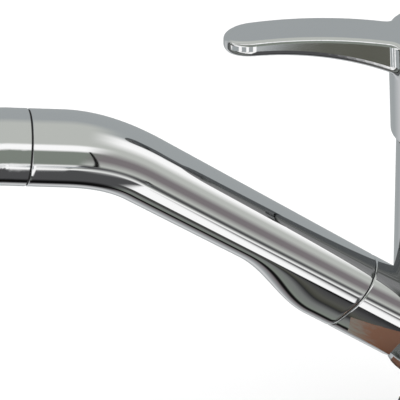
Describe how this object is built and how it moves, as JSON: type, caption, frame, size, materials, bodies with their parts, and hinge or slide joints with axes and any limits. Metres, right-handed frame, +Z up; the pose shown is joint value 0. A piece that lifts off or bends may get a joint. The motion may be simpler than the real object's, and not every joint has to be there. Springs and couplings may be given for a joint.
{
  "type": "kitchen faucet with pull-out spray",
  "caption": "Chrome single-lever kitchen faucet with a swivelling column and a bent pull-out spray wand docked in a slanted socket.",
  "frame": {"origin": "on the deck's top surface at the axis of the column and of the shank", "axes": "+Z up along the column, -Y towards the wand and its spray head, X across, sides alike"},
  "size_m": [0.0582, 0.2817, 0.2344],
  "materials": {
    "chrome": "bright chrome plating, polished",
    "brass": "plain turned brass",
    "steel": "stainless steel",
    "black_rubber": "black rubber",
    "grey_rubber": "grey silicone rubber",
    "white_plastic": "white acetal",
    "cartridge_plastic": "grey moulded plastic",
    "ceramic": "ground alumina",
    "dark_plastic": "dark grey moulded plastic",
    "grey_gloss": "grey gloss plastic"
  },
  "bodies": {
    "base": {"shank": "brass", "base_plate": "steel", "deck_gasket": "black_rubber", "glide_ring": "white_plastic", "retaining_ring": "steel"},
    "fixing": {"rubber_washer": "black_rubber", "steel_washer": "steel", "mounting_nut": "brass"},
    "body": {"body_shell": "chrome", "dock_socket": "chrome", "swivel_bush": "white_plastic", "glide_washer": "white_plastic", "dock_liner": "white_plastic", "valve_block": "brass", "cartridge_base": "cartridge_plastic", "cartridge_seals": "black_rubber", "cartridge_housing": "cartridge_plastic", "fixed_disc": "ceramic", "cartridge_nut": "brass", "bonnet": "chrome"},
    "rotor": {"cartridge_rotor": "cartridge_plastic", "pivot_pin": "steel"},
    "disc": {"disc_carrier": "cartridge_plastic", "moving_disc": "ceramic"},
    "lever": {"lever_handle": "chrome", "cartridge_stem": "brass", "set_screw": "steel", "screw_cap": "grey_gloss"},
    "wand": {"wand_shell": "chrome", "dock_spigot": "dark_plastic", "spigot_rings": "black_rubber", "check_valve": "white_plastic", "waterway_tube": "white_plastic", "head_shell": "chrome", "head_seal": "black_rubber", "diverter_body": "dark_plastic", "rocker_pin": "steel", "spray_plate": "dark_plastic", "nozzle_pad": "grey_rubber", "aerator": "white_plastic"},
    "rocker": {"rocker_button": "grey_gloss", "rocker_plunger": "dark_plastic"}
  },
  "joints": [
    {"name": "body_swivel", "type": "hinge", "parent": "base", "child": "body", "pos_m": [0, 0, 0.0055], "axis": [0, 0, 1], "range_deg": [-60, 60]},
    {"name": "lever_turn", "type": "hinge", "parent": "body", "child": "rotor", "pos_m": [0, 0, 0.1175], "axis": [0, 0, 1], "range_deg": [-45, 45]},
    {"name": "lever_lift", "type": "hinge", "parent": "rotor", "child": "lever", "pos_m": [0, 0, 0.1175], "axis": [-1, 0, 0], "range_deg": [0, 22]},
    {"name": "disc_slide", "type": "slide", "parent": "rotor", "child": "disc", "axis": [0, -1, 0], "range_m": [0, 0.006]},
    {"name": "wand_pull", "type": "slide", "parent": "body", "child": "wand", "axis": [0, -0.8171, 0.5764], "range_m": [0, 0.2]},
    {"name": "rocker_tilt", "type": "hinge", "parent": "wand", "child": "rocker", "pos_m": [0, -0.23336, 0.12198], "axis": [1, 0, 0], "range_deg": [-3.5, 3.5]},
    {"name": "nut_travel", "type": "slide", "parent": "base", "child": "fixing", "axis": [0, 0, -1], "range_m": [0, 0.08]}
  ],
  "couplings": [
    {"joint": "disc_slide", "follows": "lever_lift", "m_per_rad": 0.0156}
  ]
}
